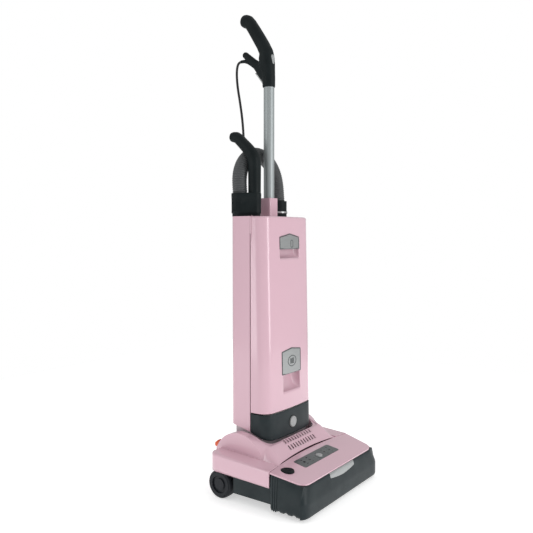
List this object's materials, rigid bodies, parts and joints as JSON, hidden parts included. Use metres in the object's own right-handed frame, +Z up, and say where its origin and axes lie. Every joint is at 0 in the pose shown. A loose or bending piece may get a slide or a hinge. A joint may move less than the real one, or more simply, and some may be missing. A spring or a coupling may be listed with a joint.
{
  "type": "upright vacuum cleaner",
  "caption": "Upright vacuum cleaner: wide brush head, reclining body with hinged bag cover, tube handle, lift-out wand, stretch hose and mains cord.",
  "frame": {"origin": "on the floor at the middle of the machine's footprint, cord left out", "axes": "+X to the machine's right as seen from its front, +Y towards its rear, +Z up"},
  "size_m": [0.368, 0.3415, 1.2355],
  "materials": {
    "pink_shell": "gloss moulded shell",
    "dark_plastic": "fine moulded texture",
    "grip_black": "soft-touch black",
    "silver_trim": "satin silver",
    "tube_alu": "satin anodised",
    "grey_plastic": "light grey",
    "display": "smoked panel",
    "lens": "indicator",
    "tyre": "soft rubber",
    "wheel_dark": "moulded",
    "neck_grey": "light grey",
    "pedal_orange": "orange red",
    "steel": "turned steel",
    "inner_grey": "inner moulding",
    "bristle": "nylon tufts",
    "belt_rubber": "toothed belt",
    "filter_white": "filter fleece",
    "hose_grey": "corrugated",
    "cord_black": "pvc sheath",
    "tie_strap": "woven strap"
  },
  "bodies": {
    "power_head": {"base_housing": "dark_plastic", "sole_plate": "steel", "front_bumper": "dark_plastic", "bumper_badge": "silver_trim", "left_side_cover": "dark_plastic", "right_side_cover": "dark_plastic", "top_panel": "pink_shell", "display_panel": "display", "indicator_lenses": "lens", "roller_bearings": "steel", "drive_belt": "belt_rubber", "brush_motor": "steel", "hood": "pink_shell", "pivot_pins": "steel", "rear_axles": "steel"},
    "mode_button": {"mode_button": "grey_plastic"},
    "brush_release": {"brush_release_button": "grip_black"},
    "brush_roller": {"brush_core": "inner_grey", "brush_bristles": "bristle", "roller_pulley": "inner_grey"},
    "brush_motor_shaft": {"motor_pulley": "steel"},
    "left_rear_wheel": {"left_wheel": "wheel_dark", "left_tyre": "tyre"},
    "right_rear_wheel": {"right_wheel": "wheel_dark", "right_tyre": "tyre"},
    "left_caster": {"left_front_roller": "wheel_dark"},
    "right_caster": {"right_front_roller": "wheel_dark"},
    "pedal": {"release_pedal": "pedal_orange"},
    "upper_body": {"neck": "neck_grey", "rear_casing": "pink_shell", "motor_housing": "inner_grey", "vacuum_motor": "steel", "pre_motor_filter": "filter_white", "exhaust_filter": "filter_white", "filter_bag": "filter_white", "bag_inlet": "inner_grey", "suction_duct": "inner_grey", "cover_hinge_pin": "steel", "handle_socket": "pink_shell", "handle_tube": "tube_alu", "handle_grip": "grip_black", "strain_relief": "grip_black", "hose_collar": "grip_black", "hose": "hose_grey", "cord_hook": "grip_black", "cord_coil": "cord_black", "cord_tie": "tie_strap", "mains_cord": "cord_black", "mains_plug": "cord_black"},
    "fan": {"fan_rotor": "steel"},
    "cover": {"front_cover": "pink_shell", "grip_plate": "silver_trim"},
    "latch": {"cover_latch": "silver_trim"},
    "exhaust_door": {"exhaust_cover": "dark_plastic"},
    "exhaust_release": {"exhaust_button": "grey_plastic"},
    "switch": {"power_switch": "grey_plastic"},
    "wand": {"wand_base": "grip_black", "wand_tube": "tube_alu", "wand_grip": "grip_black"}
  },
  "joints": [
    {"name": "recline", "type": "hinge", "parent": "power_head", "child": "upper_body", "pos_m": [0, 0.0625, 0.077], "axis": [-1, 0, 0], "range_deg": [0, 75]},
    {"name": "left_wheel_spin", "type": "hinge", "parent": "power_head", "child": "left_rear_wheel", "pos_m": [-0.17, 0.0875, 0.035], "axis": [1, 0, 0], "continuous": true},
    {"name": "right_wheel_spin", "type": "hinge", "parent": "power_head", "child": "right_rear_wheel", "pos_m": [0.17, 0.0875, 0.035], "axis": [1, 0, 0], "continuous": true},
    {"name": "left_caster_spin", "type": "hinge", "parent": "power_head", "child": "left_caster", "pos_m": [-0.116, -0.0545, 0.009], "axis": [1, 0, 0], "continuous": true},
    {"name": "right_caster_spin", "type": "hinge", "parent": "power_head", "child": "right_caster", "pos_m": [0.116, -0.0545, 0.009], "axis": [1, 0, 0], "continuous": true},
    {"name": "brush_spin", "type": "hinge", "parent": "power_head", "child": "brush_roller", "pos_m": [0, -0.1125, 0.036], "axis": [1, 0, 0], "continuous": true},
    {"name": "brush_motor_spin", "type": "hinge", "parent": "power_head", "child": "brush_motor_shaft", "pos_m": [-0.16, -0.0345, 0.046], "axis": [1, 0, 0], "continuous": true},
    {"name": "pedal_press", "type": "hinge", "parent": "power_head", "child": "pedal", "pos_m": [-0.126, 0.0995, 0.104], "axis": [-1, 0, 0], "range_deg": [0, 10], "stiffness_Nm_per_rad": 0.6},
    {"name": "mode_press", "type": "slide", "parent": "power_head", "child": "mode_button", "axis": [0, 0, -1], "range_m": [0, 0.0018], "stiffness_N_per_m": 400},
    {"name": "brush_release_press", "type": "slide", "parent": "power_head", "child": "brush_release", "axis": [0, 0, -1], "range_m": [0, 0.003], "stiffness_N_per_m": 500},
    {"name": "fan_spin", "type": "hinge", "parent": "upper_body", "child": "fan", "pos_m": [0.031, 0.0665, 0.24], "axis": [0, 0, 1], "continuous": true},
    {"name": "cover_open", "type": "hinge", "parent": "upper_body", "child": "cover", "pos_m": [0, 0.0005, 0.2075], "axis": [1, 0, 0], "range_deg": [0, 60]},
    {"name": "latch_pull", "type": "hinge", "parent": "cover", "child": "latch", "pos_m": [0, 0.0085, 0.64], "axis": [-1, 0, 0], "range_deg": [0, 10], "stiffness_Nm_per_rad": 0.3},
    {"name": "exhaust_door_slide", "type": "slide", "parent": "upper_body", "child": "exhaust_door", "axis": [0, -1, 0], "range_m": [0, 0.06]},
    {"name": "exhaust_release_press", "type": "slide", "parent": "exhaust_door", "child": "exhaust_release", "axis": [0, 1, 0], "range_m": [0, 0.003], "stiffness_N_per_m": 400},
    {"name": "power_switch_slide", "type": "slide", "parent": "upper_body", "child": "switch", "axis": [0, 0, 1], "range_m": [0, 0.009]},
    {"name": "wand_lift", "type": "slide", "parent": "upper_body", "child": "wand", "axis": [0, 0, 1], "range_m": [0, 0.11], "deforming": ["hose"]}
  ],
  "couplings": [
    {"joint": "brush_motor_spin", "follows": "brush_spin", "ratio": 2}
  ]
}
